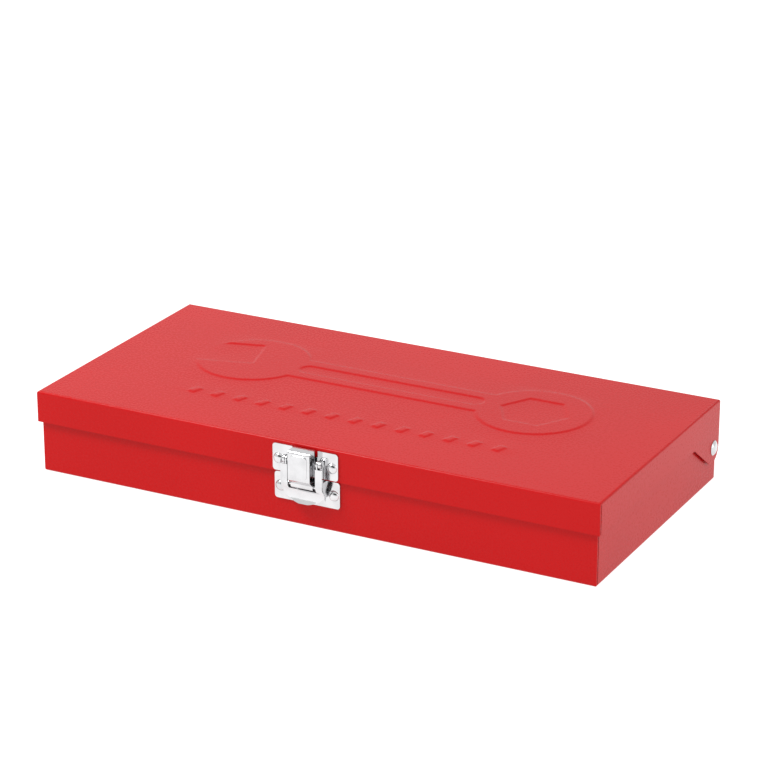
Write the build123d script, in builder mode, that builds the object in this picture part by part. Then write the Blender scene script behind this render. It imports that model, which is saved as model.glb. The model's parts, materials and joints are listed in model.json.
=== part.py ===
from build123d import *

import os
from math import cos, radians, sin, tan

os.makedirs("parts", exist_ok=True)

# A half inch drive socket set in a folded steel case. X runs left to right, Y front to back and
# Z up. The origin is under the middle of the lid, on the surface that the case stands on.

# case
sheet = 0.9
lid_length = 380.0
lid_depth = 182.6
lid_top = 53.4
seam_height = 33.2
end_gap = 1.3
front_gap = 1.35
rim_height = 42.0
back_wall_height = 32.0
bend_radius = 1.4
flap_slit = 0.9

lid_half = lid_length / 2
lid_front = -lid_depth / 2
lid_back = lid_depth / 2
tray_half = lid_half - sheet - end_gap
tray_front = lid_front + sheet + front_gap
tray_back = lid_back
tray_depth = tray_back - tray_front
tray_mid = (tray_back + tray_front) / 2
floor = sheet

# lid hinge
hinge_y = 83.1
hinge_z = 24.0
hinge_pin = 4.0
hinge_head = 9.5
hinge_dome = 1.4
hinge_play = 0.25
running_fit = 0.05
ear_y = 81.5
ear_radius = 9.8
ear_slant = 35.4
head_tip = lid_half + hinge_play + hinge_dome

# emblem on the lid
emblem_height = 0.7
emblem_y = 18.0
jaw_x = 98.0
jaw_radius = 36.0
shaft_width = 30.0
grip_window = 12.0
bar_count = 14
bar_y = -44.0
bar_pitch = 16.0

# latch
latch_width = 44.2
rivet_x = 18.0
latch_head = 7.0
latch_dome = 1.9
latch_shank = 3.0
strike_thickness = 0.9
strike_low = 34.0
strike_high = 51.3
strike_rivet_z = 42.0
tongue_half = 6.0
tongue_top = 50.35
tongue_reach = 4.4
relief_half = 8.5
base_thickness = 1.0
base_low = 15.3
base_high = 32.4
base_rivet_z = 23.6
pivot_y = -95.0
pivot_z = 44.0
pivot_pin = 2.6
ear_inner = 11.3
ear_sheet = 1.0
lever_sheet = 0.8
arm_inner = 10.0
leg_inner = 9.4
leg_outer = 14.0
leg_face = -97.3
leg_top = 41.4
window_low = 25.8
tab_radius = 19.0
tab_low = 16.4
hook_y = -94.5
hook_z = 28.8
hook_pin_size = 2.5
hook_half = 7.4
hook_face = -100.3
hook_top = 51.5
hook_side_depth = 7.0
hook_low = 32.6
hook_sheet = 0.8
barrel_size = 4.9
boss_width = 11.0
boss_height = 14.4
strike_front = lid_front - strike_thickness
base_front = tray_front - base_thickness

# rack and sockets
rack_sheet = 1.0
rack_half = 184.0
rack_front = 6.0
rack_back = 87.5
rack_top = 19.5
rack_foot = 9.0
back_row_y = 62.0
front_row_y = 25.0
back_row_sizes = [32, 30, 27, 24, 23, 22, 21, 20]
front_row_sizes = [19, 18, 17, 16, 15, 14, 13, 12, 11, 10]
row_half = 172.0
square_drive = 12.7
square_socket = 13.0

# long tools
cradle_sheet = 1.2
cradle_foot = 9.0
cradle_y = -44.5
cradle_width = 83.0
ratchet_x = -158.0
ratchet_y = -66.5
ratchet_axis_z = 27.0
ratchet_length = 250.0
head_radius = 20.0
neck_radius = 13.0
pawl_offset = 19.0
gear_radius = 11.5
gear_teeth = 30
pocket_radius = 13.2
pawl_pocket_radius = 8.0
journal = 20.0
stem = 6.0
bar_y_long = -34.5
bar_z = 20.0
tbar_y = -12.0
tbar_z = 28.0
tbar_size = 12.0
tbar_left = -178.0
tbar_length = 250.0
slider_x = -32.5
slider_size = 24.0
ball_size = 4.0


def socket_nose(size):
    """Outer diameter round the hexagon."""
    return 1.27 * size + 2.2


def socket_drive(size):
    """Outer diameter round the square drive."""
    return 17.5 + 0.42 * size


def socket_height(size):
    return 36.0 + 0.25 * size


def row_places(sizes):
    """X of each socket, with even gaps between their widest diameters."""
    widths = [max(socket_nose(size), socket_drive(size)) for size in sizes]
    gap = (2 * row_half - sum(widths)) / (len(sizes) - 1)
    places = []
    edge = -row_half
    for width in widths:
        places.append(edge + width / 2)
        edge += width + gap
    return places


back_row = list(zip(back_row_sizes, row_places(back_row_sizes)))
front_row = list(zip(front_row_sizes, row_places(front_row_sizes)))


# tray: floor, front and end walls up inside the lid, lower back wall
with BuildPart() as tray_shell:
    with BuildSketch():
        with Locations((0, tray_mid)):
            Rectangle(2 * tray_half, tray_depth)
    extrude(amount=rim_height)
    fillet(tray_shell.faces().sort_by(Axis.Z)[0].edges(), bend_radius)
    offset(amount=-sheet, openings=tray_shell.faces().sort_by(Axis.Z)[-1])
    with BuildSketch(Plane.XY.offset(back_wall_height)):
        with Locations((0, tray_back)):
            Rectangle(2 * tray_half, 2 * 3.5)
    extrude(amount=rim_height, mode=Mode.SUBTRACT)
    with BuildSketch(Plane.XY.offset(bend_radius)):
        for side in (-1, 1):
            with Locations((side * tray_half, tray_front + sheet + flap_slit / 2)):
                Rectangle(2 * sheet, flap_slit)
    extrude(amount=rim_height, mode=Mode.SUBTRACT)
    with BuildSketch(Plane.YZ):
        with Locations((hinge_y, hinge_z)):
            Circle(hinge_pin / 2)
    extrude(amount=lid_length, both=True, mode=Mode.SUBTRACT)
    with BuildSketch(Plane.XZ.offset(-tray_front)):
        with Locations((-rivet_x, base_rivet_z), (rivet_x, base_rivet_z)):
            Circle(latch_shank / 2)
    extrude(amount=2 * sheet, both=True, mode=Mode.SUBTRACT)
tray_shell.part.label = "tray_shell"
export_step(tray_shell.part, "parts/tray_shell.step")

# lid: flat top, flaps on all four sides, hinge ears low at the back of the end flaps
slant = radians(ear_slant)
ear_touch = (ear_y - ear_radius * sin(slant), hinge_z - ear_radius * cos(slant))
ear_start_y = ear_touch[0] - (seam_height - ear_touch[1]) / tan(slant)
ear_low = (ear_y + ear_radius * sin(radians(20)), hinge_z - ear_radius * cos(radians(20)))


def emblem_outline(plane):
    """A double-ended wrench over a row of slanted bars."""
    with BuildSketch(plane) as outline:
        with Locations((0, emblem_y)):
            Rectangle(2 * jaw_x, shaft_width)
        with Locations((-jaw_x, emblem_y), (jaw_x, emblem_y)):
            Circle(jaw_radius)
        with Locations((-jaw_x - jaw_radius, emblem_y)):
            Rectangle(jaw_radius * 2, jaw_radius * 0.9, rotation=15, mode=Mode.SUBTRACT)
        with Locations((jaw_x, emblem_y)):
            RegularPolygon(jaw_radius * 0.62, 6, mode=Mode.SUBTRACT)
        with Locations((0, emblem_y)):
            SlotOverall(1.3 * jaw_x, grip_window, mode=Mode.SUBTRACT)
        with GridLocations(bar_pitch, 1, bar_count, 1):
            with Locations((0, bar_y)):
                Rectangle(5.0, 8.0, rotation=-18)
    return outline.sketch


emblem = emblem_outline(Plane.XY.offset(lid_top))
emblem_hollow = offset(emblem_outline(Plane.XY.offset(lid_top - sheet)), amount=-sheet)

with BuildPart() as lid_shell:
    with BuildSketch(Plane.XY.offset(seam_height)):
        Rectangle(lid_length, lid_depth)
    extrude(amount=lid_top - seam_height)
    fillet(lid_shell.faces().sort_by(Axis.Z)[-1].edges(), bend_radius)
    offset(amount=-sheet, openings=lid_shell.faces().sort_by(Axis.Z)[0])
    for start_x in (lid_half - sheet, -lid_half):
        with BuildSketch(Plane.YZ.offset(start_x)):
            with BuildLine():
                Polyline((ear_start_y, seam_height), ear_touch)
                ThreePointArc(ear_touch, ear_low, (ear_y + ear_radius, hinge_z))
                Polyline((ear_y + ear_radius, hinge_z), (lid_back, seam_height + 1))
                Polyline((lid_back, seam_height + 1), (ear_start_y, seam_height + 1))
                Line((ear_start_y, seam_height + 1), (ear_start_y, seam_height))
            make_face()
        extrude(amount=sheet)
    extrude(emblem, amount=emblem_height)
    extrude(emblem_hollow, amount=emblem_height, mode=Mode.SUBTRACT)
    with BuildSketch(Plane.YZ):
        with Locations((hinge_y, hinge_z)):
            Circle(hinge_pin / 2 + running_fit)
    extrude(amount=lid_length, both=True, mode=Mode.SUBTRACT)
    with BuildSketch(Plane.XZ.offset(-lid_front)):
        with Locations((-rivet_x, strike_rivet_z), (rivet_x, strike_rivet_z)):
            Circle(latch_shank / 2)
    extrude(amount=2 * sheet, both=True, mode=Mode.SUBTRACT)
    with BuildSketch(Plane.XY.offset(seam_height)):
        for side in (-1, 1):
            with Locations((side * lid_half, lid_front + sheet + flap_slit / 2)):
                Rectangle(2 * sheet, flap_slit)
    extrude(amount=lid_top - seam_height - bend_radius, mode=Mode.SUBTRACT)
lid_shell.part.label = "lid_shell"
export_step(lid_shell.part, "parts/lid_shell.step")

# hinge: a domed rivet through each ear and end wall, with a washer between them
with BuildPart() as hinge_rivets:
    for side in (-1, 1):
        with BuildSketch(Plane.YZ.offset(side * (tray_half - sheet))):
            with Locations((hinge_y, hinge_z)):
                Circle(hinge_pin / 2)
        extrude(amount=side * (sheet + end_gap + sheet + hinge_play))
        with BuildSketch(Plane.XY.offset(hinge_z)):
            with BuildLine():
                Line((side * (lid_half + hinge_play), hinge_y), (side * head_tip, hinge_y))
                ThreePointArc(
                    (side * head_tip, hinge_y),
                    (side * (head_tip - 0.37), hinge_y + hinge_head * 0.34),
                    (side * (lid_half + hinge_play), hinge_y + hinge_head / 2),
                )
                Line((side * (lid_half + hinge_play), hinge_y + hinge_head / 2), (side * (lid_half + hinge_play), hinge_y))
            make_face()
        revolve(axis=Axis((0, hinge_y, hinge_z), (1, 0, 0)))
        with BuildSketch(Plane.YZ.offset(side * (tray_half - sheet - 1.0))):
            with Locations((hinge_y, hinge_z)):
                Circle(3.5)
        extrude(amount=side * 1.0)
hinge_rivets.part.label = "hinge_rivets"
export_step(hinge_rivets.part, "parts/hinge_rivets.step")

with BuildPart() as hinge_washers:
    for start_x in (tray_half, -tray_half - end_gap + hinge_play):
        with BuildSketch(Plane.YZ.offset(start_x)):
            with Locations((hinge_y, hinge_z)):
                Circle(4.5)
                Circle(hinge_pin / 2, mode=Mode.SUBTRACT)
        extrude(amount=end_gap - hinge_play)
hinge_washers.part.label = "hinge_washers"
export_step(hinge_washers.part, "parts/hinge_washers.step")

# strike plate on the lid, its tongue bent out over the front
with BuildPart() as strike_plate:
    with BuildSketch(Plane.XZ.offset(-lid_front)):
        with Locations((0, (strike_low + strike_high) / 2)):
            RectangleRounded(latch_width, strike_high - strike_low, 2.0)
        with Locations((0, strike_high)):
            Rectangle(2 * relief_half, 8.0, mode=Mode.SUBTRACT)
        with Locations((0, (strike_rivet_z + tongue_top) / 2)):
            Rectangle(2 * tongue_half, tongue_top - strike_rivet_z)
        with Locations((-rivet_x, strike_rivet_z), (rivet_x, strike_rivet_z)):
            Circle(latch_shank / 2, mode=Mode.SUBTRACT)
    extrude(amount=strike_thickness)
    with BuildSketch(Plane.XZ.offset(-strike_front)):
        with Locations((0, tongue_top - strike_thickness / 2)):
            Rectangle(2 * tongue_half, strike_thickness)
    extrude(amount=tongue_reach)
strike_plate.part.label = "strike_plate"
export_step(strike_plate.part, "parts/strike_plate.step")


def plate_rivets(front, back, height, head_back):
    """Two domed rivets, heads on the plate's front face, spread flat behind the sheet."""
    with BuildPart() as pair:
        for x in (-rivet_x, rivet_x):
            with BuildSketch(Plane.XZ.offset(-back)):
                with Locations((x, height)):
                    Circle(latch_shank / 2)
            extrude(amount=back - front)
            with BuildSketch(Plane.XY.offset(height)):
                with BuildLine():
                    Line((x, front), (x, front - latch_dome))
                    ThreePointArc(
                        (x, front - latch_dome),
                        (x + latch_head * 0.34, front - latch_dome + 0.55),
                        (x + latch_head / 2, front),
                    )
                    Line((x + latch_head / 2, front), (x, front))
                make_face()
            revolve(axis=Axis((x, 0, height), (0, 1, 0)))
            with BuildSketch(Plane.XZ.offset(-back - head_back)):
                with Locations((x, height)):
                    Circle(latch_shank)
            extrude(amount=head_back)
    return pair.part


strike_rivets = plate_rivets(strike_front, lid_front + sheet, strike_rivet_z, 0.5)
strike_rivets.label = "strike_rivets"
export_step(strike_rivets, "parts/strike_rivets.step")

latch_base_rivets = plate_rivets(base_front, tray_front + sheet, base_rivet_z, 0.8)
latch_base_rivets.label = "latch_base_rivets"
export_step(latch_base_rivets, "parts/latch_base_rivets.step")

# latch base: plate on the tray, two ears that carry the lever past the seam
with BuildPart() as latch_base_plate:
    with BuildSketch(Plane.XZ.offset(-tray_front)):
        with Locations((0, (base_low + base_high) / 2)):
            RectangleRounded(latch_width, base_high - base_low, 2.0)
        with Locations((-rivet_x, base_rivet_z), (rivet_x, base_rivet_z)):
            Circle(latch_shank / 2, mode=Mode.SUBTRACT)
    extrude(amount=base_thickness)
    for start_x in (ear_inner, -ear_inner - ear_sheet):
        with BuildSketch(Plane.YZ.offset(start_x)):
            with BuildLine():
                Polyline(
                    (pivot_y + 2.4, pivot_z),
                    (pivot_y + 2.4, base_high - 0.8),
                    (base_front + 0.3, base_high - 0.8),
                    (base_front + 0.3, base_low + 2.5),
                    (pivot_y - 1.0, base_high - 2.0),
                    (pivot_y - 1.0, pivot_z - 2.2),
                )
                ThreePointArc((pivot_y - 1.0, pivot_z - 2.2), (pivot_y, pivot_z + 2.4), (pivot_y + 2.4, pivot_z))
            make_face()
            with Locations((pivot_y, pivot_z)):
                Circle(pivot_pin / 2, mode=Mode.SUBTRACT)
        extrude(amount=ear_sheet)
latch_base_plate.part.label = "latch_base_plate"
export_step(latch_base_plate.part, "parts/latch_base_plate.step")

with BuildPart() as lever_pivots:
    for side in (-1, 1):
        with BuildSketch(Plane.YZ.offset(side * (arm_inner - 0.9))):
            with Locations((pivot_y, pivot_z)):
                Circle(1.9)
        extrude(amount=side * 0.6)
        with BuildSketch(Plane.YZ.offset(side * (arm_inner - 0.4))):
            with Locations((pivot_y, pivot_z)):
                Circle(pivot_pin / 2)
        extrude(amount=side * (ear_inner + ear_sheet - arm_inner + 0.4))
        with BuildSketch(Plane.YZ.offset(side * (ear_inner + ear_sheet))):
            with Locations((pivot_y, pivot_z)):
                Circle(2.3)
        extrude(amount=side * 0.8)
lever_pivots.part.label = "lever_pivots"
export_step(lever_pivots.part, "parts/lever_pivots.step")

# latch lever: round finger tab below, two legs beside the hook, arms back to the pivots
leg_middle = leg_face + lever_sheet / 2
with BuildPart() as latch_lever:
    with BuildSketch(Plane.YZ.offset(-leg_outer)):
        with BuildLine():
            Line((leg_middle, leg_top), (leg_middle, 31.5))
            Spline((leg_middle, 31.5), (-96.0, 27.2), (-94.1, 24.2), (-93.7, 20.0), (-94.9, tab_low))
        trace(line_width=lever_sheet)
    extrude(amount=2 * leg_outer)
    with BuildSketch(Plane.XZ.offset(90)):
        with Locations((0, (leg_top + 24.0) / 2)):
            Rectangle(2 * leg_outer, leg_top - 24.0 + 2)
        with Locations((0, tab_low + tab_radius)):
            Circle(tab_radius)
        with Locations((0, window_low + 10.0)):
            Rectangle(2 * leg_inner, 20.0, mode=Mode.SUBTRACT)
    extrude(amount=12, mode=Mode.INTERSECT)
    for start_x in (arm_inner, -arm_inner - 0.9):
        with BuildSketch(Plane.YZ.offset(start_x)):
            with BuildLine():
                Polyline(
                    (pivot_y + 2.3, pivot_z),
                    (hook_y + 2.2, hook_z),
                    (hook_y + 0.6, hook_z - 2.4),
                    (leg_face + 0.6, hook_z + 0.4),
                    (leg_face + 0.2, hook_z + 3.0),
                    (leg_face + 0.2, leg_top),
                    (pivot_y - 2.3, pivot_z),
                )
                ThreePointArc((pivot_y - 2.3, pivot_z), (pivot_y, pivot_z + 2.3), (pivot_y + 2.3, pivot_z))
            make_face()
            with Locations((pivot_y, pivot_z)):
                Circle(pivot_pin / 2 + running_fit, mode=Mode.SUBTRACT)
            with Locations((hook_y, hook_z)):
                Circle(hook_pin_size / 2, mode=Mode.SUBTRACT)
        extrude(amount=0.9)
latch_lever.part.label = "latch_lever"
export_step(latch_lever.part, "parts/latch_lever.step")

with BuildPart() as hook_pin:
    with BuildSketch(Plane.YZ.offset(-arm_inner - 0.9)):
        with Locations((hook_y, hook_z)):
            Circle(hook_pin_size / 2)
    extrude(amount=2 * (arm_inner + 0.9))
hook_pin.part.label = "hook_pin"
export_step(hook_pin.part, "parts/hook_pin.step")

# draw hook: rolled barrel, curved web, block with a flange over the strike tongue
hook_middle = hook_face + hook_sheet / 2
barrel_front = hook_y - barrel_size / 2 + hook_sheet / 2
with BuildPart() as draw_hook:
    with BuildSketch(Plane.YZ.offset(-hook_half)):
        with BuildLine():
            Line((barrel_front, hook_z), (barrel_front, hook_z + 1.2))
            Spline((barrel_front, hook_z + 1.2), (barrel_front - 1.5, hook_z + 2.6), (hook_middle, hook_low + 0.8))
            Line((hook_middle, hook_low + 0.8), (hook_middle, hook_top - 1.8))
            ThreePointArc(
                (hook_middle, hook_top - 1.8),
                (hook_middle + 0.41, hook_top - 0.81),
                (hook_middle + 1.4, hook_top - hook_sheet / 2),
            )
            Line((hook_middle + 1.4, hook_top - hook_sheet / 2), (strike_front - 0.3, hook_top - hook_sheet / 2))
        trace(line_width=hook_sheet)
        with Locations((hook_y, hook_z)):
            Circle(barrel_size / 2)
    extrude(amount=2 * hook_half)
    for start_x in (-hook_half, hook_half - hook_sheet):
        with BuildSketch(Plane.YZ.offset(start_x)):
            with Locations((hook_face + hook_side_depth / 2, (hook_low + hook_top - 0.5) / 2)):
                Rectangle(hook_side_depth - hook_sheet, hook_top - 0.5 - hook_low)
        extrude(amount=hook_sheet)
    with BuildSketch(Plane.XZ.offset(-hook_face)):
        with Locations((0, (hook_low + hook_top) / 2)):
            RectangleRounded(boss_width, boss_height, 2.0)
    extrude(amount=0.5)
    fillet(draw_hook.faces().sort_by(Axis.Y)[0].edges(), 0.4)
    with BuildSketch(Plane.YZ):
        with Locations((hook_y, hook_z)):
            Circle(hook_pin_size / 2 + running_fit)
    extrude(amount=2 * hook_half, both=True, mode=Mode.SUBTRACT)
draw_hook.part.label = "draw_hook"
export_step(draw_hook.part, "parts/draw_hook.step")

# socket rack: a plate with a round hole for each socket, on two folded legs
with BuildPart() as socket_rack:
    with BuildSketch(Plane.XY.offset(rack_top - rack_sheet)):
        with Locations((0, (rack_front + rack_back) / 2)):
            Rectangle(2 * rack_half, rack_back - rack_front)
        for row, row_y in ((back_row, back_row_y), (front_row, front_row_y)):
            for size, x in row:
                with Locations((x, row_y)):
                    Circle(max(socket_nose(size), socket_drive(size)) / 2 + 0.4, mode=Mode.SUBTRACT)
    extrude(amount=rack_sheet)
    with BuildSketch(Plane.XY.offset(floor)):
        for leg_y in (rack_front + rack_sheet / 2, rack_back - rack_sheet / 2):
            with Locations((0, leg_y)):
                Rectangle(2 * rack_half, rack_sheet)
    extrude(amount=rack_top - rack_sheet - floor)
    with BuildSketch(Plane.XY.offset(floor)):
        with Locations((0, rack_front - rack_foot / 2 + rack_sheet)):
            Rectangle(2 * rack_half, rack_foot)
    extrude(amount=rack_sheet)
    fillet(socket_rack.faces().sort_by(Axis.Z)[-1].edges().filter_by(Axis.X), 0.9)
socket_rack.part.label = "socket_rack"
export_step(socket_rack.part, "parts/socket_rack.step")


def make_socket(size, x, y):
    """A six-point drive socket standing on the tray floor, hexagon up, square drive down."""
    nose = socket_nose(size) / 2
    drive = socket_drive(size) / 2
    height = socket_height(size)
    drive_depth = 16.0
    hexagon_depth = height - drive_depth - 3.0
    with BuildPart() as socket:
        with BuildSketch(Plane.XZ):
            with BuildLine():
                Polyline(
                    (0, 0),
                    (drive - 0.8, 0),
                    (drive, 0.8),
                    (drive, 0.42 * height),
                    (nose, 0.42 * height + 4.0),
                    (nose, height - 1.0),
                    (nose - 1.0, height),
                    (0, height),
                    (0, 0),
                )
            make_face()
        revolve(axis=Axis.Z)
        with BuildSketch(Plane.XZ):
            with Locations((drive, 8.0)):
                Rectangle(0.8, 1.6)
        revolve(axis=Axis.Z, mode=Mode.SUBTRACT)
        with BuildSketch(Plane.XY):
            Rectangle(square_socket, square_socket)
        extrude(amount=drive_depth, mode=Mode.SUBTRACT)
        with BuildSketch(Plane.XY):
            Circle(min(size * 0.42, 5.5))
        extrude(amount=height, mode=Mode.SUBTRACT)
        with BuildSketch(Plane.XY.offset(height - hexagon_depth)):
            RegularPolygon(size / 2 + 0.1, 6, major_radius=False)
        extrude(amount=hexagon_depth, mode=Mode.SUBTRACT)
    return socket.part.moved(Location((x, y, floor)))


for row, row_y in ((back_row, back_row_y), (front_row, front_row_y)):
    for size, x in row:
        one_socket = make_socket(size, x, row_y)
        one_socket.label = f"socket_{size}"
        export_step(one_socket, f"parts/socket_{size}.step")


# cradles: sheet posts with a folded foot and an open notch under each long tool
def make_cradle(x, top, notches):
    """notches holds the Y, axis height and radius of each tool that lies here."""
    with BuildPart() as cradle:
        with BuildSketch(Plane.YZ.offset(x)):
            with Locations((cradle_y, (floor + top) / 2)):
                Rectangle(cradle_width, top - floor)
            for notch_y, notch_z, notch_radius in notches:
                with Locations((notch_y, notch_z)):
                    Circle(notch_radius + running_fit, mode=Mode.SUBTRACT)
                with Locations((notch_y, notch_z + top / 2)):
                    Rectangle(2 * (notch_radius + running_fit), top, mode=Mode.SUBTRACT)
        extrude(amount=cradle_sheet)
        with BuildSketch(Plane.XY.offset(floor)):
            with Locations((x + cradle_foot / 2, cradle_y)):
                Rectangle(cradle_foot, cradle_width)
        extrude(amount=cradle_sheet)
    return cradle.part


bar_radius = 6.5
tbar_notch = (tbar_y, tbar_z, tbar_size / 2)
bar_notch = (bar_y_long, bar_z, bar_radius)
cradles = {
    "cradle_left": (-105.0, 31.0, [(ratchet_y, ratchet_axis_z, 7.0), bar_notch, tbar_notch]),
    "cradle_middle": (40.0, 31.0, [(ratchet_y, ratchet_axis_z, 10.5), bar_notch, tbar_notch]),
    "cradle_inner": (108.0, 24.0, [(ratchet_y, bar_z, 13.5), (bar_y_long, bar_z, 11.0), (tbar_y, bar_z, 11.0)]),
    "cradle_outer": (140.0, 24.0, [(ratchet_y, bar_z, 13.5), bar_notch, (tbar_y, bar_z, 9.5)]),
}
for name, (x, top, notches) in cradles.items():
    one_cradle = make_cradle(x, top, notches)
    one_cradle.label = name
    export_step(one_cradle, f"parts/{name}.step")


# extension bars, spark plug socket and adapter, lying along X
def make_bar(left, length, y):
    """Extension bar: bored head on the left, male square on the right."""
    with BuildPart() as bar:
        with BuildSketch(Plane.XZ):
            with BuildLine():
                Polyline(
                    (0, 0),
                    (0, 10.2),
                    (0.8, 11.0),
                    (25.0, 11.0),
                    (30.0, bar_radius),
                    (length - 16.0, bar_radius),
                    (length - 16.0, 0),
                    (0, 0),
                )
            make_face()
        revolve(axis=Axis.X)
        with BuildSketch(Plane.YZ.offset(length - 16.0)):
            RectangleRounded(square_drive, square_drive, 0.8)
        extrude(amount=16.0)
        chamfer(bar.faces().sort_by(Axis.X)[-1].edges(), 0.8)
        with BuildSketch(Plane.YZ):
            Rectangle(square_socket, square_socket)
        extrude(amount=17.0, mode=Mode.SUBTRACT)
        with BuildSketch(Plane.XY.offset(square_drive / 2)):
            with Locations((length - 8.0, 0)):
                Circle(ball_size / 2)
        extrude(amount=-ball_size, mode=Mode.SUBTRACT)
    return bar.part.moved(Location((left, y, bar_z)))


long_left = tbar_left
long_length = 250.0
short_left = 88.0
short_length = 75.0
extension_bar_long = make_bar(long_left, long_length, bar_y_long)
extension_bar_long.label = "extension_bar_long"
export_step(extension_bar_long, "parts/extension_bar_long.step")

extension_bar_short = make_bar(short_left, short_length, bar_y_long)
extension_bar_short.label = "extension_bar_short"
export_step(extension_bar_short, "parts/extension_bar_short.step")

with BuildPart() as extension_balls:
    for end_x in (long_left + long_length, short_left + short_length):
        with Locations((end_x - 8.0, bar_y_long, bar_z + square_drive / 2 - 1.3)):
            Sphere(ball_size / 2 - 0.02)
extension_balls.part.label = "extension_balls"
export_step(extension_balls.part, "parts/extension_balls.step")

plug_left = 92.0
plug_length = 66.0
plug_radius = 13.5
with BuildPart() as spark_plug_socket:
    with BuildSketch(Plane.YZ.offset(plug_left)):
        with Locations((ratchet_y, bar_z)):
            Circle(plug_radius)
    extrude(amount=plug_length)
    chamfer(spark_plug_socket.edges().filter_by(GeomType.CIRCLE), 0.8)
    with BuildSketch(Plane.YZ.offset(plug_left)):
        with Locations((ratchet_y, bar_z)):
            Rectangle(square_socket, square_socket)
    extrude(amount=16.0, mode=Mode.SUBTRACT)
    with BuildSketch(Plane.YZ.offset(plug_left + 16.0)):
        with Locations((ratchet_y, bar_z)):
            Circle(9.5)
    extrude(amount=plug_length, mode=Mode.SUBTRACT)
    with BuildSketch(Plane.YZ.offset(plug_left + plug_length - 20.0)):
        with Locations((ratchet_y, bar_z)):
            RegularPolygon(10.45, 6, major_radius=False)
    extrude(amount=20.0, mode=Mode.SUBTRACT)
spark_plug_socket.part.label = "spark_plug_socket"
export_step(spark_plug_socket.part, "parts/spark_plug_socket.step")

with BuildPart() as plug_socket_insert:
    with BuildSketch(Plane.YZ.offset(plug_left + 20.0)):
        with Locations((ratchet_y, bar_z)):
            Circle(9.5)
            Circle(6.0, mode=Mode.SUBTRACT)
    extrude(amount=22.0)
plug_socket_insert.part.label = "plug_socket_insert"
export_step(plug_socket_insert.part, "parts/plug_socket_insert.step")

with BuildPart() as drive_adapter:
    with BuildSketch(Plane.YZ.offset(103.0)):
        with Locations((tbar_y, bar_z)):
            Circle(11.0)
    extrude(amount=22.0)
    chamfer(drive_adapter.edges().filter_by(GeomType.CIRCLE), 0.8)
    with BuildSketch(Plane.YZ.offset(125.0)):
        with Locations((tbar_y, bar_z)):
            RectangleRounded(13.0, 13.0, 1.0)
    extrude(amount=22.0)
    chamfer(drive_adapter.faces().sort_by(Axis.X)[-1].edges(), 0.9)
    with BuildSketch(Plane.YZ.offset(103.0)):
        with Locations((tbar_y, bar_z)):
            Rectangle(square_socket, square_socket)
    extrude(amount=16.0, mode=Mode.SUBTRACT)
drive_adapter.part.label = "drive_adapter"
export_step(drive_adapter.part, "parts/drive_adapter.step")


# ratchet: pear-shaped head with a stepped pocket, handle along +X
head_low = 19.0
head_high = 36.0
gear_low = 23.5
gear_high = 33.0
cover_low = 34.5
cover_screw = 2.5
pawl_x = ratchet_x + pawl_offset
handle_end = ratchet_x - head_radius + ratchet_length
screw_places = [
    (ratchet_x + 15.6 * cos(radians(angle)), ratchet_y + 15.6 * sin(radians(angle)))
    for angle in (115, 180, 245)
]


def pear(plane, big, small):
    """Head outline: a large circle round the gear joined to a small one round the pawl."""
    with BuildSketch(plane) as outline:
        with BuildLine():
            reach = (big - small) / pawl_offset
            side = (1 - reach**2) ** 0.5
            touch_big = (ratchet_x + big * reach, ratchet_y + big * side)
            touch_small = (pawl_x + small * reach, ratchet_y + small * side)
            low_small = (pawl_x + small * reach, ratchet_y - small * side)
            low_big = (ratchet_x + big * reach, ratchet_y - big * side)
            Line(touch_big, touch_small)
            ThreePointArc(touch_small, (pawl_x + small, ratchet_y), low_small)
            Line(low_small, low_big)
            ThreePointArc(low_big, (ratchet_x - big, ratchet_y), touch_big)
        make_face()
    return outline.sketch


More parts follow.
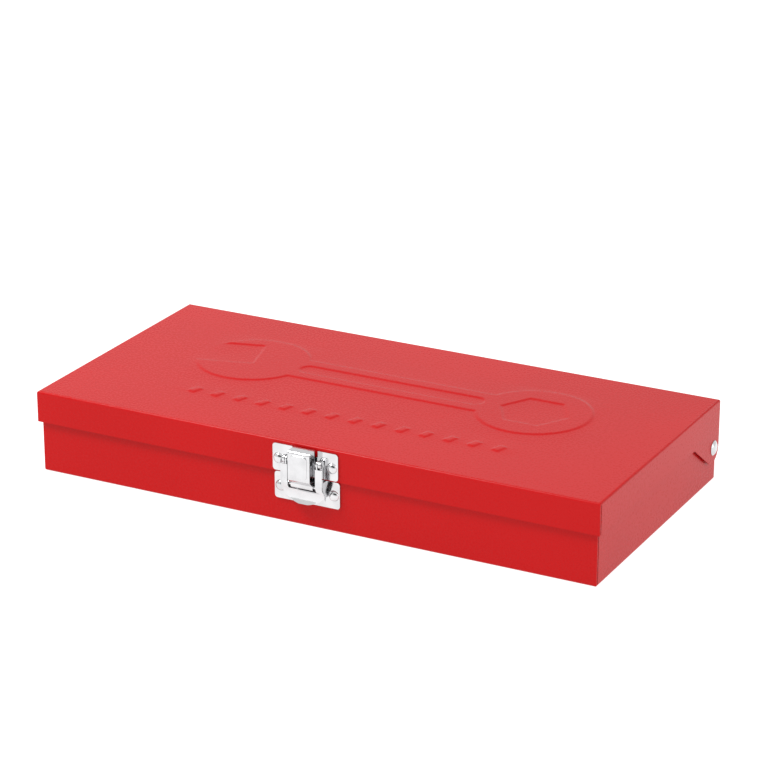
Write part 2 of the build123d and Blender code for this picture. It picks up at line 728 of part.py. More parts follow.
with BuildPart() as ratchet_body:
    extrude(pear(Plane.XY.offset(head_low), head_radius, neck_radius), amount=head_high - head_low)
    chamfer(ratchet_body.faces().sort_by(Axis.Z)[0].edges(), 1.2)
    with BuildSketch(Plane.XZ.offset(-ratchet_y)):
        with BuildLine():
            Polyline((pawl_x, ratchet_axis_z), (pawl_x, ratchet_axis_z + 7.5))
            Spline(
                (pawl_x, ratchet_axis_z + 7.5),
                (pawl_x + 26.0, ratchet_axis_z + 6.8),
                (-60.0, ratchet_axis_z + 6.5),
                tangents=((1, 0), (1, 0)),
            )
            Line((-60.0, ratchet_axis_z + 6.5), (-30.0, ratchet_axis_z + 7.0))
            Spline(
                (-30.0, ratchet_axis_z + 7.0),
                (0.0, ratchet_axis_z + 10.0),
                (handle_end - 25.0, ratchet_axis_z + 10.5),
                tangents=((1, 0.05), (1, 0)),
            )
            Line((handle_end - 25.0, ratchet_axis_z + 10.5), (handle_end - 6.0, ratchet_axis_z + 10.5))
            RadiusArc(
                (handle_end - 6.0, ratchet_axis_z + 10.5), (handle_end, ratchet_axis_z + 4.5), 6.0
            )
            Polyline((handle_end, ratchet_axis_z + 4.5), (handle_end, ratchet_axis_z), (pawl_x, ratchet_axis_z))
        make_face()
    revolve(axis=Axis((0, ratchet_y, ratchet_axis_z), (1, 0, 0)))
    for ring in range(9):
        with BuildSketch(Plane.XZ.offset(-ratchet_y)):
            with Locations((5.0 + 6.0 * ring, ratchet_axis_z + 10.9)):
                Rectangle(2.0, 2.4)
        revolve(axis=Axis((0, ratchet_y, ratchet_axis_z), (1, 0, 0)), mode=Mode.SUBTRACT)
    extrude(pear(Plane.XY.offset(cover_low), 17.6, 10.6), amount=9.0, mode=Mode.SUBTRACT)
    with BuildSketch(Plane.XY.offset(gear_low - 0.4)):
        with Locations((ratchet_x, ratchet_y)):
            Circle(pocket_radius)
        with Locations((pawl_x, ratchet_y)):
            Circle(pawl_pocket_radius)
    extrude(amount=head_high, mode=Mode.SUBTRACT)
    with BuildSketch(Plane.XY):
        with Locations((ratchet_x, ratchet_y)):
            Circle(journal / 2 + running_fit)
    extrude(amount=head_high, mode=Mode.SUBTRACT)
    with BuildSketch(Plane.XY.offset(cover_low - 5.0)):
        with Locations(*screw_places):
            Circle(cover_screw / 2)
    extrude(amount=5.0, mode=Mode.SUBTRACT)
ratchet_body.part.label = "ratchet_body"
export_step(ratchet_body.part, "parts/ratchet_body.step")

with BuildPart() as ratchet_cover:
    extrude(pear(Plane.XY.offset(cover_low), 17.4, 10.4), amount=1.5)
    with BuildSketch(Plane.XY.offset(cover_low)):
        with Locations((pawl_x, ratchet_y)):
            Circle(stem / 2 + running_fit)
        with Locations(*screw_places):
            Circle(cover_screw / 2 + 0.05)
    extrude(amount=5.0, mode=Mode.SUBTRACT)
ratchet_cover.part.label = "ratchet_cover"
export_step(ratchet_cover.part, "parts/ratchet_cover.step")

with BuildPart() as cover_screws:
    with BuildSketch(Plane.XY.offset(cover_low - 4.0)):
        with Locations(*screw_places):
            Circle(cover_screw / 2)
    extrude(amount=5.5)
    with BuildSketch(Plane.XY.offset(cover_low + 1.5)):
        with Locations(*screw_places):
            Circle(2.1)
    extrude(amount=1.0)
    with BuildSketch(Plane.XY.offset(cover_low + 2.1)):
        with Locations(*screw_places):
            Rectangle(5.0, 0.6)
    extrude(amount=1.0, mode=Mode.SUBTRACT)
cover_screws.part.label = "cover_screws"
export_step(cover_screws.part, "parts/cover_screws.step")

anvil_low = 4.5
anvil_half = square_drive / 2
with BuildPart() as drive_spindle:
    with BuildSketch(Plane.XY.offset(gear_low)):
        with Locations((ratchet_x, ratchet_y)):
            Circle(gear_radius)
        with Locations((ratchet_x, ratchet_y)):
            with PolarLocations(gear_radius, gear_teeth):
                Triangle(a=1.6, b=1.6, c=1.6, rotation=90, mode=Mode.SUBTRACT)
    extrude(amount=gear_high - gear_low)
    with BuildSketch(Plane.XY.offset(head_low - 1.0)):
        with Locations((ratchet_x, ratchet_y)):
            Circle(journal / 2)
    extrude(amount=gear_low - head_low + 1.0)
    with BuildSketch(Plane.XY.offset(anvil_low)):
        with Locations((ratchet_x, ratchet_y)):
            RectangleRounded(square_drive, square_drive, 0.8)
    extrude(amount=head_low - 1.0 - anvil_low)
    chamfer(drive_spindle.faces().sort_by(Axis.Z)[0].edges(), 0.8)
    with BuildSketch(Plane.XZ.offset(-ratchet_y + anvil_half)):
        with Locations((ratchet_x, anvil_low + 6.5)):
            Circle(ball_size / 2)
    extrude(amount=-ball_size, mode=Mode.SUBTRACT)
drive_spindle.part.label = "drive_spindle"
export_step(drive_spindle.part, "parts/drive_spindle.step")

with BuildPart() as spindle_ball:
    with Locations((ratchet_x, ratchet_y - anvil_half + 1.3, anvil_low + 6.5)):
        Sphere(ball_size / 2 - 0.02)
spindle_ball.part.label = "spindle_ball"
export_step(spindle_ball.part, "parts/spindle_ball.step")

with BuildPart() as reversing_lever:
    with BuildSketch(Plane.XY.offset(gear_low + 1.0)):
        with Locations((pawl_x, ratchet_y)):
            Circle(stem / 2)
    extrude(amount=head_high + 0.4 - gear_low - 1.0)
    with BuildSketch(Plane.XY.offset(head_high + 0.4)):
        with Locations((pawl_x, ratchet_y)):
            Circle(6.5)
        with Locations((pawl_x + 7.0, ratchet_y)):
            SlotOverall(18.0, 7.0)
    extrude(amount=2.6)
    chamfer(reversing_lever.faces().sort_by(Axis.Z)[-1].edges(), 0.5)
reversing_lever.part.label = "reversing_lever"
export_step(reversing_lever.part, "parts/reversing_lever.step")

with BuildPart() as ratchet_pawl:
    with BuildSketch(Plane.XY.offset(gear_low + 1.0)):
        with Locations((pawl_x, ratchet_y)):
            Circle(7.2)
        with Locations((pawl_x + 7.0, ratchet_y)):
            Rectangle(9.0, 20.0, mode=Mode.SUBTRACT)
        with Locations((pawl_x - 7.4, ratchet_y)):
            Circle(3.2, mode=Mode.SUBTRACT)
        with Locations((pawl_x, ratchet_y)):
            Circle(4.6)
            Circle(stem / 2, mode=Mode.SUBTRACT)
    extrude(amount=gear_high - gear_low - 2.0)
ratchet_pawl.part.label = "ratchet_pawl"
export_step(ratchet_pawl.part, "parts/ratchet_pawl.step")

# sliding T-handle: rod with end stops, head that slides along it
tbar_stop_places = (tbar_left + 5.0, tbar_left + tbar_length - 6.2)
with BuildPart() as tbar_rod:
    with BuildSketch(Plane.YZ.offset(tbar_left)):
        with Locations((tbar_y, tbar_z)):
            Circle(tbar_size / 2)
    extrude(amount=tbar_length)
    chamfer(tbar_rod.edges().filter_by(GeomType.CIRCLE), 1.0)
    for stop_x in tbar_stop_places:
        with BuildSketch(Plane.YZ.offset(stop_x)):
            with Locations((tbar_y, tbar_z)):
                Circle(tbar_size / 2)
                Circle(tbar_size / 2 - 0.8, mode=Mode.SUBTRACT)
        extrude(amount=1.2, mode=Mode.SUBTRACT)
tbar_rod.part.label = "tbar_rod"
export_step(tbar_rod.part, "parts/tbar_rod.step")

with BuildPart() as tbar_stops:
    for stop_x in tbar_stop_places:
        with BuildSketch(Plane.YZ.offset(stop_x)):
            with Locations((tbar_y, tbar_z)):
                Circle(tbar_size / 2 + 0.8)
                Circle(tbar_size / 2 - 0.8, mode=Mode.SUBTRACT)
        extrude(amount=1.2)
tbar_stops.part.label = "tbar_stops"
export_step(tbar_stops.part, "parts/tbar_stops.step")

slider_low = 17.0
slider_high = 39.0
with BuildPart() as tbar_slider:
    with BuildSketch(Plane.XY.offset(slider_low)):
        with Locations((slider_x, tbar_y)):
            Circle(slider_size / 2)
    extrude(amount=slider_high - slider_low)
    chamfer(tbar_slider.edges().filter_by(GeomType.CIRCLE), 1.0)
    with BuildSketch(Plane.XY.offset(anvil_low)):
        with Locations((slider_x, tbar_y)):
            RectangleRounded(square_drive, square_drive, 0.8)
    extrude(amount=slider_low - anvil_low)
    chamfer(tbar_slider.faces().sort_by(Axis.Z)[0].edges(), 0.8)
    with BuildSketch(Plane.YZ.offset(slider_x)):
        with Locations((tbar_y, tbar_z)):
            Circle(tbar_size / 2 + running_fit)
    extrude(amount=slider_size, both=True, mode=Mode.SUBTRACT)
    with BuildSketch(Plane.XZ.offset(-tbar_y + anvil_half)):
        with Locations((slider_x, anvil_low + 6.0)):
            Circle(ball_size / 2)
    extrude(amount=-ball_size, mode=Mode.SUBTRACT)
tbar_slider.part.label = "tbar_slider"
export_step(tbar_slider.part, "parts/tbar_slider.step")

with BuildPart() as slider_ball:
    with Locations((slider_x, tbar_y - anvil_half + 1.3, anvil_low + 6.0)):
        Sphere(ball_size / 2 - 0.02)
slider_ball.part.label = "slider_ball"
export_step(slider_ball.part, "parts/slider_ball.step")
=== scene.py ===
import json
import math

import bpy
import numpy as np
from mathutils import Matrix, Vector

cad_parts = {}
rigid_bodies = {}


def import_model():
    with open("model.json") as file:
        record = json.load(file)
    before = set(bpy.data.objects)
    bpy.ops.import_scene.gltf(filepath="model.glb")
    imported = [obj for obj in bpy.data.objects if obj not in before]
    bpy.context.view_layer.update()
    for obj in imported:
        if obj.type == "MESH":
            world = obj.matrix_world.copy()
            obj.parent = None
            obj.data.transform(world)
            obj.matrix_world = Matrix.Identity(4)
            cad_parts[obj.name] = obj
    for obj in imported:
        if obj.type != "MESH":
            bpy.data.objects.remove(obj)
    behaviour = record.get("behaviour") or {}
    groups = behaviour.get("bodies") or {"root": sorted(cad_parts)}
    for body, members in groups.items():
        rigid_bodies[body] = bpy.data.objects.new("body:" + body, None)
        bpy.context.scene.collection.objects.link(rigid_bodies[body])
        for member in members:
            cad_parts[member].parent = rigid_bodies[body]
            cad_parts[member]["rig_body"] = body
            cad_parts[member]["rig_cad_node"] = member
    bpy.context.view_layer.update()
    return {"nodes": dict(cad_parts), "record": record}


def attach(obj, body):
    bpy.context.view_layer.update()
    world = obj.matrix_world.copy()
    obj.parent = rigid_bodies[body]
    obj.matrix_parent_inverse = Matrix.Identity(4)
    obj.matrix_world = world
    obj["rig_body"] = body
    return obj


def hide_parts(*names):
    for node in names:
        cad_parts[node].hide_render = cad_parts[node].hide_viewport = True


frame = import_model()
nodes = frame["nodes"]
slotOf = {row["node"]: row["material_slot"] for row in frame["record"]["subparts"]}
mm = 0.001
print("frame loaded:", len(nodes), "nodes")


# shader helpers: node maths written as expressions
class Signal:
    def __init__(self, shader, socket):
        self.shader = shader
        self.socket = socket

    def maths(self, operation, first, second):
        return self.shader.node("ShaderNodeMath", {"operation": operation}, {0: first, 1: second})

    def __add__(self, other):
        return self.maths("ADD", self, other)

    def __mul__(self, other):
        return self.maths("MULTIPLY", self, other)

    __radd__ = __add__
    __rmul__ = __mul__


class Shader:
    def __init__(self, name):
        self.material = bpy.data.materials.new(name)
        self.material.use_nodes = True
        self.tree = self.material.node_tree
        self.surface = self.tree.nodes["Principled BSDF"]

    def node(self, kind, settings=None, values=None, output=0):
        made = self.tree.nodes.new(kind)
        for key, value in (settings or {}).items():
            setattr(made, key, value)
        for key, value in (values or {}).items():
            if isinstance(value, Signal):
                self.tree.links.new(value.socket, made.inputs[key])
            else:
                made.inputs[key].default_value = value
        return Signal(self, made.outputs[output])

    def place(self, scale=(1, 1, 1)):
        spot = self.node("ShaderNodeTexCoord", output=3)   # object coordinates
        return self.node("ShaderNodeMapping", values={"Vector": spot, "Scale": scale})

    def noise(self, where, scale, detail=2.0, roughness=0.5):
        return self.node(
            "ShaderNodeTexNoise",
            values={"Vector": where, "Scale": scale, "Detail": detail, "Roughness": roughness},
        )

    def ramp(self, signal, low, high, fromValue=0.0, toValue=1.0):
        return self.node(
            "ShaderNodeMapRange",
            {"interpolation_type": "SMOOTHSTEP"},
            {"Value": signal, "From Min": low, "From Max": high, "To Min": fromValue, "To Max": toValue},
        )

    def blend(self, amount, colourA, colourB):
        values = {0: amount, 6: colourA, 7: colourB}   # a Mix node's factor and its two colours
        return self.node("ShaderNodeMix", {"data_type": "RGBA"}, values, output=2)

    def bump(self, height, distance, strength):
        values = {"Height": height, "Distance": distance, "Strength": strength}
        return self.node("ShaderNodeBump", values=values)

    def drive(self, **signals):
        for key, value in signals.items():
            socket = self.surface.inputs[socketNames[key]]
            if isinstance(value, Signal):
                self.tree.links.new(value.socket, socket)
            else:
                socket.default_value = value
        return self.material


socketNames = {
    "colour": "Base Color",
    "rough": "Roughness",
    "metal": "Metallic",
    "normal": "Normal",
    "specular": "Specular IOR Level",
}


# finishes
redEnamel = {
    "colour": (0.447, 0.0028, 0.0036, 1),
    "shade": (0.422, 0.0024, 0.0030, 1),
    "cloudSize": 9.0,
    "waveSize": 26.0,
    "waveShare": 2.5,
    "peelSize": 620,
    "peelDepth": 0.00001,
    "bumpStrength": 0.6,
    "rough": (0.25, 0.30),
    "specular": 0.14,
    "colourRamp": (0.35, 0.7),
    "roughRamp": (0.4, 1.1),
    "cloudShare": 0.5,
}


def makeRedEnamel(spec):
    paint = Shader("redEnamel")
    where = paint.place()
    cloud = paint.noise(where, spec["cloudSize"], 3.0)
    peel = paint.noise(where, spec["peelSize"], 2.0, 0.55)
    wave = paint.noise(where, spec["waveSize"], 1.0)
    return paint.drive(
        colour=paint.blend(paint.ramp(cloud, *spec["colourRamp"]), spec["shade"], spec["colour"]),
        rough=paint.ramp(peel + cloud * spec["cloudShare"], *spec["roughRamp"], *spec["rough"]),
        specular=spec["specular"],
        normal=paint.bump(peel + wave * spec["waveShare"], spec["peelDepth"], spec["bumpStrength"]),
    )


nickelPlate = {
    "colour": (0.67, 0.67, 0.68, 1),
    "dull": (0.58, 0.58, 0.59, 1),
    "cloudSize": 110.0,
    "grainSize": 700.0,
    "grainStretch": (1, 1, 14),
    "grainDepth": 0.000003,
    "rough": (0.06, 0.17),
    "colourRamp": (0.35, 0.75),
    "roughRamp": (0.45, 1.15),
    "cloudShare": 0.6,
    "bumpStrength": 0.5,
}


def makeNickelPlate(spec):
    plate = Shader("nickelPlate")
    cloud = plate.noise(plate.place(), spec["cloudSize"], 3.0)
    grain = plate.noise(plate.place(scale=spec["grainStretch"]), spec["grainSize"], 2.0)
    return plate.drive(
        metal=1.0,
        colour=plate.blend(plate.ramp(cloud, *spec["colourRamp"]), spec["colour"], spec["dull"]),
        rough=plate.ramp(grain + cloud * spec["cloudShare"], *spec["roughRamp"], *spec["rough"]),
        normal=plate.bump(grain, spec["grainDepth"], spec["bumpStrength"]),
    )


toolChrome = {
    "colour": (0.80, 0.81, 0.82, 1),
    "shade": (0.62, 0.63, 0.65, 1),
    "cloudSize": 60.0,
    "turnedSize": 520.0,
    "turnedStretch": (1, 1, 9),
    "turnedDepth": 0.000004,
    "rough": (0.14, 0.29),
    "colourRamp": (0.3, 0.8),
    "roughRamp": (0.4, 1.1),
    "cloudShare": 0.5,
    "bumpStrength": 0.5,
}


def makeToolChrome(spec):
    chrome = Shader("toolChrome")
    cloud = chrome.noise(chrome.place(), spec["cloudSize"], 3.0)
    turned = chrome.noise(chrome.place(scale=spec["turnedStretch"]), spec["turnedSize"], 2.0)
    return chrome.drive(
        metal=1.0,
        colour=chrome.blend(chrome.ramp(cloud, *spec["colourRamp"]), spec["colour"], spec["shade"]),
        rough=chrome.ramp(turned + cloud * spec["cloudShare"], *spec["roughRamp"], *spec["rough"]),
        normal=chrome.bump(turned, spec["turnedDepth"], spec["bumpStrength"]),
    )


rackPaint = {
    "colour": (0.022, 0.022, 0.025, 1),
    "dust": (0.05, 0.05, 0.052, 1),
    "dustSize": 20.0,
    "peelSize": 500.0,
    "peelDepth": 0.00004,
    "rough": (0.38, 0.55),
    "colourRamp": (0.45, 0.8),
    "roughRamp": (0.3, 0.7),
    "bumpStrength": 0.7,
}


def makeRackPaint(spec):
    paint = Shader("rackPaint")
    where = paint.place()
    peel = paint.noise(where, spec["peelSize"], 2.0)
    cloud = paint.noise(where, spec["dustSize"], 4.0)
    return paint.drive(
        colour=paint.blend(paint.ramp(cloud, *spec["colourRamp"]), spec["colour"], spec["dust"]),
        rough=paint.ramp(peel, *spec["roughRamp"], *spec["rough"]),
        normal=paint.bump(peel, spec["peelDepth"], spec["bumpStrength"]),
    )


darkSteel = {
    "colour": (0.10, 0.10, 0.105, 1),
    "shade": (0.045, 0.045, 0.05, 1),
    "metal": 0.9,
    "cloudSize": 90.0,
    "grainSize": 900.0,
    "grainDepth": 0.00002,
    "rough": (0.28, 0.48),
    "colourRamp": (0.35, 0.7),
    "roughRamp": (0.6, 1.3),
    "bumpStrength": 0.5,
}


def makeDarkSteel(spec):
    steel = Shader("darkSteel")
    where = steel.place()
    cloud = steel.noise(where, spec["cloudSize"], 4.0)
    grain = steel.noise(where, spec["grainSize"], 2.0)
    return steel.drive(
        metal=spec["metal"],
        colour=steel.blend(steel.ramp(cloud, *spec["colourRamp"]), spec["colour"], spec["shade"]),
        rough=steel.ramp(grain + cloud, *spec["roughRamp"], *spec["rough"]),
        normal=steel.bump(grain, spec["grainDepth"], spec["bumpStrength"]),
    )


polishedBall = {
    "colour": (0.88, 0.88, 0.89, 1),
    "shade": (0.7, 0.7, 0.72, 1),
    "cloudSize": 400.0,
    "rough": (0.07, 0.15),
    "colourRamp": (0.4, 0.8),
    "roughRamp": (0.3, 0.8),
}


def makePolishedBall(spec):
    ball = Shader("polishedBall")
    cloud = ball.noise(ball.place(), spec["cloudSize"], 3.0)
    return ball.drive(
        metal=1.0,
        colour=ball.blend(ball.ramp(cloud, *spec["colourRamp"]), spec["colour"], spec["shade"]),
        rough=ball.ramp(cloud, *spec["roughRamp"], *spec["rough"]),
    )


rubberGrip = {
    "colour": (0.018, 0.018, 0.019, 1),
    "bloom": (0.045, 0.045, 0.047, 1),
    "bloomSize": 80.0,
    "grainSize": 1400.0,
    "grainDepth": 0.00005,
    "rough": (0.67, 0.84),
    "colourRamp": (0.4, 0.75),
    "roughRamp": (0.3, 0.7),
    "bumpStrength": 0.8,
}


def makeRubberGrip(spec):
    rubber = Shader("rubberGrip")
    where = rubber.place()
    cloud = rubber.noise(where, spec["bloomSize"], 4.0)
    grain = rubber.noise(where, spec["grainSize"], 2.0)
    return rubber.drive(
        colour=rubber.blend(rubber.ramp(cloud, *spec["colourRamp"]), spec["colour"], spec["bloom"]),
        rough=rubber.ramp(grain, *spec["roughRamp"], *spec["rough"]),
        normal=rubber.bump(grain, spec["grainDepth"], spec["bumpStrength"]),
    )


finishes = {
    "red_enamel": makeRedEnamel(redEnamel),
    "nickel_plate": makeNickelPlate(nickelPlate),
    "tool_chrome": makeToolChrome(toolChrome),
    "rack_paint": makeRackPaint(rackPaint),
    "dark_steel": makeDarkSteel(darkSteel),
    "polished_ball": makePolishedBall(polishedBall),
    "rubber_grip": makeRubberGrip(rubberGrip),
}
print("finishes made:", len(finishes))


def giveFinish(piece, finish):
    piece.data.materials.clear()
    piece.data.materials.append(finishes[finish])


for name, node in nodes.items():
    giveFinish(node, slotOf[name])
print("finishes given to the carried-over nodes")


# pressed lid: the CAD lid's folded flaps and ears, with a soft pressed emblem in its top
lidSpec = {
    "top": 53.4,
    "sheet": 0.9,
    "flat": (188.59, 89.89),
    "field": (139.0, 55.0),
    "fieldCentre": (0.0, 3.0),
    "step": 0.68,
    "innerStep": 2.0,
    "depth": 0.7,
    "rise": 0.76,
    "slope": 0.85,
    "swell": 0.16,
    "swellReach": 9.0,
    "fadeWidth": 9.0,
    "shaft": (98.0, 15.0),
    "jawRadius": 36.0,
    "mouthShare": 0.45,
    "mouthTilt": 15,
    "ringShare": 0.537,
    "windowShare": 0.65,
    "windowHalf": 6.0,
    "emblemY": 18.0,
    "bars": 14,
    "barPitch": 16.0,
    "barY": -44.0,
    "barHalf": (2.5, 4.0),
    "barLean": -18,
    "edge": 0.2,
    "facesWithin": 0.05,
    "rimWithin": 0.02,
}


def boxDistance(x, y, centre, half, turn=0.0, rounding=0.0):
    c, s = math.cos(turn), math.sin(turn)
    u = (x - centre[0]) * c + (y - centre[1]) * s
    v = (y - centre[1]) * c - (x - centre[0]) * s
    u, v = np.abs(u) - half[0] + rounding, np.abs(v) - half[1] + rounding
    return np.hypot(np.maximum(u, 0), np.maximum(v, 0)) + np.minimum(np.maximum(u, v), 0) - rounding


def circleDistance(x, y, centre, radius):
    return np.hypot(x - centre[0], y - centre[1]) - radius


def hexagonDistance(x, y, centre, apothem):
    x, y = x - centre[0], y - centre[1]
    sides = [x * math.cos(turn) + y * math.sin(turn) for turn in np.radians(range(30, 390, 60))]
    return np.maximum.reduce(sides) - apothem


def emblemHeight(x, y, spec):
    # signed distance to a double-ended wrench over a row of slanted bars, turned into a soft step
    reach, half = spec["shaft"]
    jaw, level = spec["jawRadius"], spec["emblemY"]
    tilt, lean = math.radians(spec["mouthTilt"]), math.radians(spec["barLean"])
    shape = boxDistance(x, y, (0, level), (reach, half), rounding=1.0)
    shape = np.minimum(shape, circleDistance(x, y, (-reach, level), jaw))
    shape = np.minimum(shape, circleDistance(x, y, (reach, level), jaw))
    mouth = boxDistance(x, y, (-reach - jaw, level), (jaw, spec["mouthShare"] * jaw), tilt, 2.0)
    ring = hexagonDistance(x, y, (reach, level), spec["ringShare"] * jaw)
    windowHalf = (spec["windowShare"] * reach, spec["windowHalf"])
    window = boxDistance(x, y, (0, level), windowHalf, rounding=5.9)
    for hole in (mouth, ring, window):
        shape = np.maximum(shape, -hole)
    for bar in range(spec["bars"]):
        barX = (bar - (spec["bars"] - 1) / 2) * spec["barPitch"]
        shape = np.minimum(shape, boxDistance(x, y, (barX, spec["barY"]), spec["barHalf"], lean, 0.8))
    step = np.clip(0.5 - shape / (2 * spec["slope"]), 0, 1)
    # the sheet is drawn up a little round the pressing
    swell = spec["swell"] * np.exp(-np.maximum(shape, 0) / spec["swellReach"])
    edgeX = spec["field"][0] - np.abs(x - spec["fieldCentre"][0])
    edgeY = spec["field"][1] - np.abs(y - spec["fieldCentre"][1])
    fade = np.clip(np.minimum(edgeX, edgeY) / spec["fadeWidth"], 0, 1)
    fade = fade * fade * (3 - 2 * fade)
    return spec["depth"] * step * step * (3 - 2 * step) * spec["rise"] + swell * fade


def copyOfNode(nodeName, pieceName):
    piece = nodes[nodeName].copy()
    piece.data = nodes[nodeName].data.copy()
    piece.name = pieceName
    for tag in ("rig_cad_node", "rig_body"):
        del piece[tag]
    piece.parent = None
    bpy.context.scene.collection.objects.link(piece)
    return piece


def edit(*pieces):
    # the pieces given are the only ones selected, and nothing in them is
    bpy.ops.object.select_all(action="DESELECT")
    for piece in pieces:
        piece.select_set(True)
    bpy.context.view_layer.objects.active = pieces[0]
    bpy.ops.object.mode_set(mode="EDIT")
    bpy.ops.mesh.select_all(action="DESELECT")
    bpy.ops.object.mode_set(mode="OBJECT")


def pickFaces(piece, wanted):
    for face in piece.data.polygons:
        face.select = bool(wanted(face.center / mm))


# cleaning and easing of every piece that starts as a CAD node, angles in degrees
easing = {"mergeDistance": 0.000002, "flatAngle": 0.5, "bevelAngle": 40, "segments": 2, "smoothAngle": 38}


def cleanCopy(nodeName, pieceName):
    piece = copyOfNode(nodeName, pieceName)
    edit(piece)
    bpy.ops.object.mode_set(mode="EDIT")
    bpy.ops.mesh.customdata_custom_splitnormals_clear()
    bpy.ops.mesh.select_all(action="SELECT")
    bpy.ops.mesh.remove_doubles(threshold=easing["mergeDistance"])
    bpy.ops.mesh.select_all(action="DESELECT")
    bpy.ops.object.mode_set(mode="OBJECT")
    return piece


def easeEdges(piece, width):
    bevel = piece.modifiers.new("eased", "BEVEL")
    bevel.limit_method = "ANGLE"
    bevel.angle_limit = math.radians(easing["bevelAngle"])
    bevel.width = width * mm
    bevel.segments = easing["segments"]
    bpy.ops.object.modifier_apply(modifier=bevel.name)
    bpy.ops.object.shade_smooth_by_angle(angle=math.radians(easing["smoothAngle"]))
    # broad flat faces stay flat beside their bevels
    flatter = piece.modifiers.new("flatter", "WEIGHTED_NORMAL")
    flatter.keep_sharp = True
    bpy.ops.object.modifier_apply(modifier=flatter.name)


def pressedField(spec, level, name, step):
    fieldX, fieldY = spec["field"]
    bpy.ops.mesh.primitive_grid_add(
        x_subdivisions=round(2 * fieldX / step), y_subdivisions=round(2 * fieldY / step), size=2 * mm,
        location=(spec["fieldCentre"][0] * mm, spec["fieldCentre"][1] * mm, level * mm),
    )
    field = bpy.context.object
    field.name = name
    field.scale = (fieldX, fieldY, 1)
    bpy.ops.object.transform_apply()
    spots = np.zeros(len(field.data.vertices) * 3)
    field.data.vertices.foreach_get("co", spots)
    spots = spots.reshape(-1, 3)
    spots[:, 2] += emblemHeight(spots[:, 0] / mm, spots[:, 1] / mm, spec) * mm
    field.data.vertices.foreach_set("co", spots.ravel())
    return field


def makeLid(spec):
    lid = cleanCopy("lid_shell", "lid_pressing")
    flatX, flatY = spec["flat"]
    inside = spec["top"] - spec["sheet"]
    edit(lid)
    lowest = inside - spec["facesWithin"]
    pickFaces(lid, lambda c: c.z > lowest and abs(c.x) < flatX and abs(c.y) < flatY)
    bpy.ops.object.mode_set(mode="EDIT")
    bpy.ops.mesh.delete(type="FACE")
    bpy.ops.object.mode_set(mode="OBJECT")
    fields = ((spec["top"], "outerField", spec["step"]), (inside, "innerField", spec["innerStep"]))
    for level, name, step in fields:
        field = pressedField(spec, level, name, step)
        if level == inside:
            field.data.flip_normals()
        field.data.materials.append(finishes["red_enamel"])
        edit(lid, field)
        bpy.ops.object.join()
        edit(lid)
        bpy.ops.object.mode_set(mode="EDIT")
        bpy.ops.mesh.select_mode(type="EDGE")
        bpy.ops.mesh.select_non_manifold(use_wire=False, use_multi_face=False, use_verts=False)
        bpy.ops.object.mode_set(mode="OBJECT")
        for edge in lid.data.edges:
            heights = [lid.data.vertices[v].co.z / mm for v in edge.vertices]
            edge.select = edge.select and all(abs(h - level) < spec["rimWithin"] for h in heights)
        bpy.ops.object.mode_set(mode="EDIT")
        bpy.ops.mesh.fill(use_beauty=True)
        bpy.ops.object.mode_set(mode="OBJECT")
    edit(lid)
    bpy.ops.object.mode_set(mode="EDIT")
    bpy.ops.mesh.select_mode(type="FACE")
    bpy.ops.mesh.select_all(action="SELECT")
    bpy.ops.mesh.normals_make_consistent(inside=False)
    bpy.ops.object.mode_set(mode="OBJECT")
    easeEdges(lid, spec["edge"])
    giveFinish(lid, "red_enamel")
    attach(lid, "lid")
    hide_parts("lid_shell")
    print("lid made:", len(lid.data.polygons), "faces")
    return lid


makeLid(lidSpec)

# every other folded, turned or forged part: the CAD shape with its sharp edges broken, in mm
easedEdges = {
    "tray_shell": 0.2, "strike_plate": 0.2, "latch_base_plate": 0.2, "latch_lever": 0.24, "draw_hook": 0.26,
    "hook_pin": 0.2, "lever_pivots": 0.2, "hinge_washers": 0.15, "socket_rack": 0.2, "cradle_left": 0.2,
    "cradle_middle": 0.2, "cradle_inner": 0.2, "cradle_outer": 0.2, "extension_bar_long": 0.3,
    "extension_bar_short": 0.3, "spark_plug_socket": 0.3, "plug_socket_insert": 0.5, "drive_adapter": 0.3,
    "ratchet_body": 0.35, "ratchet_cover": 0.2, "cover_screws": 0.12, "drive_spindle": 0.15,
    "reversing_lever": 0.25, "ratchet_pawl": 0.15, "tbar_rod": 0.2, "tbar_stops": 0.15, "tbar_slider": 0.3,
}
easedEdges.update({name: 0.25 for name in nodes if name.startswith("socket_") and name != "socket_rack"})


def makeEasedPart(nodeName, width):
    part = cleanCopy(nodeName, nodeName + "_eased")
    edit(part)
    bpy.ops.object.mode_set(mode="EDIT")
    bpy.ops.mesh.select_all(action="SELECT")
    bpy.ops.mesh.dissolve_limited(angle_limit=math.radians(easing["flatAngle"]))
    bpy.ops.object.mode_set(mode="OBJECT")
    easeEdges(part, width)
    giveFinish(part, slotOf[nodeName])
    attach(part, nodes[nodeName]["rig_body"])
    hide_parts(nodeName)


for name, width in easedEdges.items():
    makeEasedPart(name, width)
print("edges eased on", len(easedEdges), "parts")


# floor, lights and camera
stageSpec = {
    "size": 30.0,
    "drop": 0.0002,
    "colour": (0.30, 0.30, 0.30, 1),
    "rough": 0.9,
    "glow": (1, 1, 1, 1),
    "glowStrength": 0.90,
    "sky": 0.92,
}


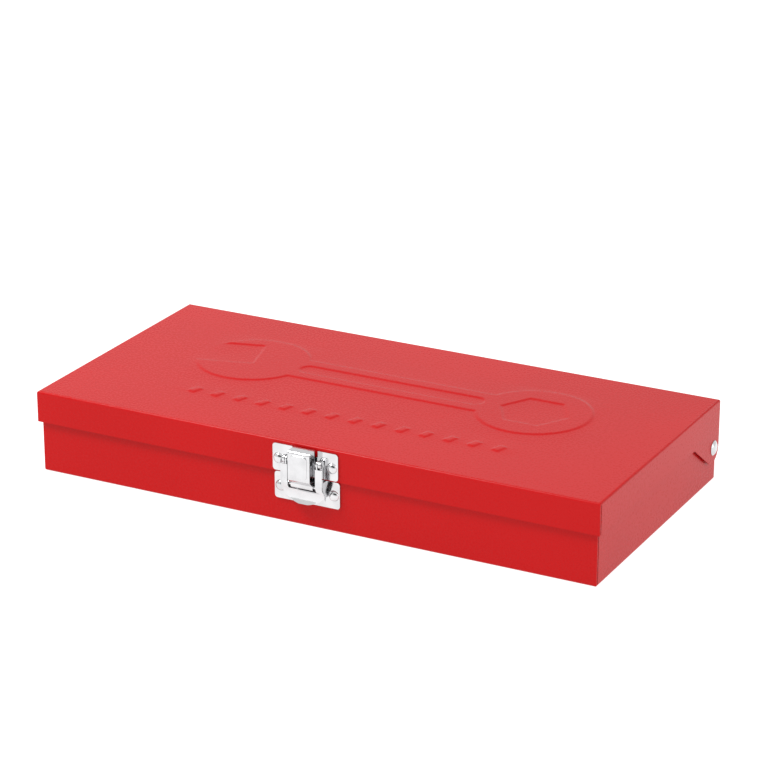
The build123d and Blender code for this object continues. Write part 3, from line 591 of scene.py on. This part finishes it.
def makeStage(spec):
    bpy.ops.mesh.primitive_plane_add(size=spec["size"], location=(0, 0, -spec["drop"]))
    floor = bpy.context.object
    floor.name = "studioFloor"
    paper = Shader("studioPaper")
    paper.drive(colour=spec["colour"], rough=spec["rough"], specular=0.0)
    paper.surface.inputs["Emission Color"].default_value = spec["glow"]
    paper.surface.inputs["Emission Strength"].default_value = spec["glowStrength"]
    floor.data.materials.append(paper.material)
    world = bpy.data.worlds.new("studioSky")
    bpy.context.scene.world = world
    world.use_nodes = True
    sky = world.node_tree.nodes["Background"]
    sky.inputs["Color"].default_value = (1, 1, 1, 1)
    sky.inputs["Strength"].default_value = spec["sky"]


lightSpecs = [
    {"name": "keyBox", "spot": (-0.6, -0.54, 1.14), "size": (0.42, 0.36), "power": 13.5},
    {"name": "rightBox", "spot": (2.2, 0.1, 0.7), "size": (1.4, 1.4), "power": 6.5},
]


def makeLight(spec):
    lamp = bpy.data.lights.new(spec["name"], "AREA")
    lamp.shape = "RECTANGLE"
    lamp.size, lamp.size_y = spec["size"]
    lamp.energy = spec["power"]
    holder = bpy.data.objects.new(spec["name"], lamp)
    bpy.context.scene.collection.objects.link(holder)
    holder.location = spec["spot"]
    holder.rotation_euler = (-Vector(spec["spot"])).to_track_quat("-Z", "Y").to_euler()


# the dark side of the studio, seen only as reflections in the bright metal
cardSpec = {"spot": (1.0, -2.1, 1.3), "size": (3.0, 1.5), "colour": (0.01, 0.01, 0.01, 1)}


def makeCard(spec):
    bpy.ops.mesh.primitive_plane_add(size=1, location=spec["spot"], rotation=(math.radians(90), 0, 0))
    card = bpy.context.object
    card.name = "darkCard"
    card.scale = (*spec["size"], 1)
    card.visible_diffuse = False
    card.visible_camera = False
    cloth = Shader("darkCloth")
    cloth.drive(colour=spec["colour"], rough=1.0, specular=0.0)
    card.data.materials.append(cloth.material)


cameraSpec = {
    "spot": (0.79727, -1.51908, 0.72219),
    "target": (-0.0692, 0.1414, 0.0),
    "lens": 140.07,
    "sensor": 36.0,
}


def makeCamera(spec):
    lens = bpy.data.cameras.new("camera")
    lens.lens = spec["lens"]
    lens.sensor_width = spec["sensor"]
    holder = bpy.data.objects.new("camera", lens)
    bpy.context.scene.collection.objects.link(holder)
    holder.location = spec["spot"]
    aim = Vector(spec["target"]) - Vector(spec["spot"])
    holder.rotation_euler = aim.to_track_quat("-Z", "Y").to_euler()
    bpy.context.scene.camera = holder


makeStage(stageSpec)
for lightSpec in lightSpecs:
    makeLight(lightSpec)
makeCard(cardSpec)
makeCamera(cameraSpec)
bpy.context.scene.view_settings.view_transform = "Standard"
print("stage, lights and camera set")
